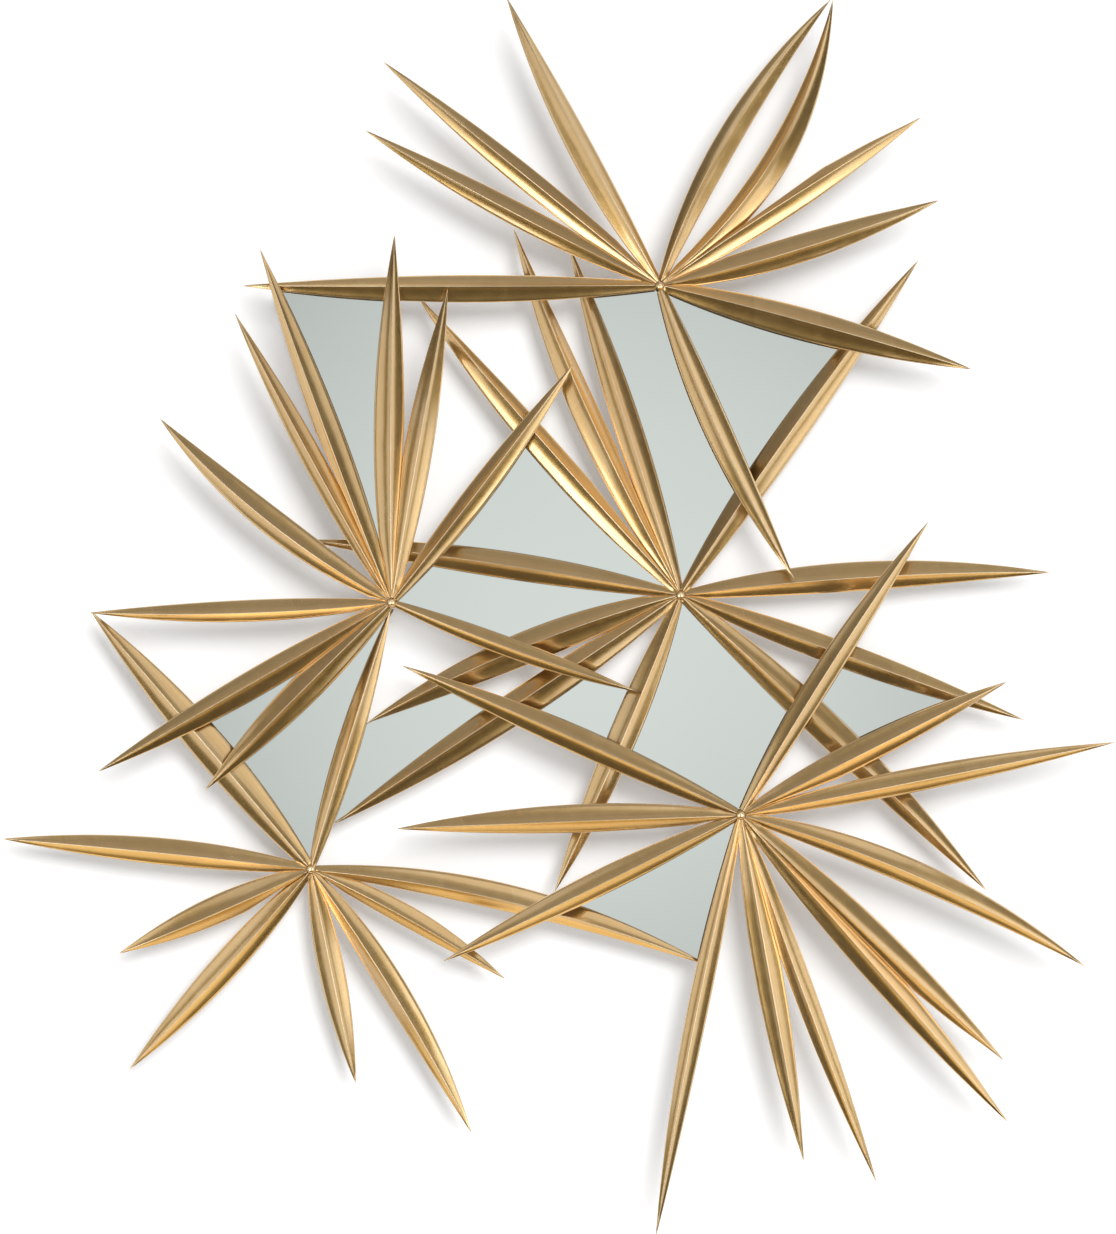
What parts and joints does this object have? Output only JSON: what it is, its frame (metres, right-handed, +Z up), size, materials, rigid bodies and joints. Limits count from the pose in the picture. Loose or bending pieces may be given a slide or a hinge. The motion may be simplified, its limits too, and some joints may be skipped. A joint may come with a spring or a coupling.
{
  "type": "sunburst wall mirror",
  "caption": "Wall mirror: angular mirror panes behind starbursts of long carved and gilded leaf-shaped rays that cross and overlap in layers, hung from hinged rings.",
  "frame": {"origin": "on the wall's face, behind the hub of the centre star, at the middle of the centre wall bumper's face", "axes": "+X to the viewer's right, +Z up, +Y into the wall, so the mirror faces -Y"},
  "size_m": [1.223, 0.0607, 1.3632],
  "materials": {
    "gilded_wood": "gold leaf over gesso on carved wood, softly burnished",
    "gilded_brass": "gold leaf, softly burnished",
    "mirror_glass": "silvered glass, slightly grey-green",
    "plywood": "stained and sealed",
    "frame_steel": "dull bronze paint, to go unseen behind the gilding",
    "zinc_steel": "zinc plated",
    "rubber": "matt"
  },
  "bodies": {
    "mirror": {"backing_boards": "plywood", "bottom_pane": "mirror_glass", "bottom_star_ray_1": "gilded_wood", "bottom_star_ray_2": "gilded_wood", "bottom_star_ray_4": "gilded_wood", "bottom_star_ray_5": "gilded_wood", "bottom_star_ray_6": "gilded_wood", "bottom_star_ray_7": "gilded_wood", "bottom_star_ray_8": "gilded_wood", "bottom_star_ray_pair_3": "gilded_wood", "centre_left_pane": "mirror_glass", "centre_star_ray_1": "gilded_wood", "centre_star_ray_2": "gilded_wood", "centre_star_ray_4": "gilded_wood", "centre_star_ray_5": "gilded_wood", "centre_star_ray_7": "gilded_wood", "centre_star_ray_8": "gilded_wood", "centre_star_ray_9": "gilded_wood", "centre_star_ray_pair_3": "gilded_wood", "centre_star_ray_pair_6": "gilded_wood", "frame_bars": "frame_steel", "hanger_straps": "zinc_steel", "hub_caps": "gilded_brass", "hub_rods": "frame_steel", "left_star_ray_1": "gilded_wood", "left_star_ray_2": "gilded_wood", "left_star_ray_3": "gilded_wood", "left_star_ray_5": "gilded_wood", "left_star_ray_6": "gilded_wood", "left_star_ray_8": "gilded_wood", "left_star_ray_pair_4": "gilded_wood", "left_star_ray_pair_7": "gilded_wood", "lower_centre_pane": "mirror_glass", "lower_left_pane": "mirror_glass", "middle_left_pane": "mirror_glass", "outer_left_pane": "mirror_glass", "right_star_ray_2": "gilded_wood", "right_star_ray_3": "gilded_wood", "right_star_ray_4": "gilded_wood", "right_star_ray_5": "gilded_wood", "right_star_ray_6": "gilded_wood", "right_star_ray_9": "gilded_wood", "right_star_ray_pair_1": "gilded_wood", "right_star_ray_pair_7": "gilded_wood", "right_star_ray_pair_8": "gilded_wood", "screws": "zinc_steel", "small_centre_pane": "mirror_glass", "small_right_pane": "mirror_glass", "top_star_leaf_loop": "gilded_wood", "top_star_ray_2": "gilded_wood", "top_star_ray_4": "gilded_wood", "top_star_ray_5": "gilded_wood", "top_star_ray_6": "gilded_wood", "top_star_ray_pair_1": "gilded_wood", "top_star_ray_pair_3": "gilded_wood", "upper_left_pane": "mirror_glass", "upper_right_pane": "mirror_glass", "wall_bumpers": "rubber"},
    "left_hanger_ring": {"left_hanger_ring": "zinc_steel"},
    "right_hanger_ring": {"right_hanger_ring": "zinc_steel"}
  },
  "joints": [
    {"name": "left_ring_hinge", "type": "hinge", "parent": "mirror", "child": "left_hanger_ring", "pos_m": [-0.36, -0.01, 0.26], "axis": [-1, 0, 0], "range_deg": [0, 179]},
    {"name": "right_ring_hinge", "type": "hinge", "parent": "mirror", "child": "right_hanger_ring", "pos_m": [0.025, -0.01, 0.26], "axis": [-1, 0, 0], "range_deg": [0, 179]}
  ]
}
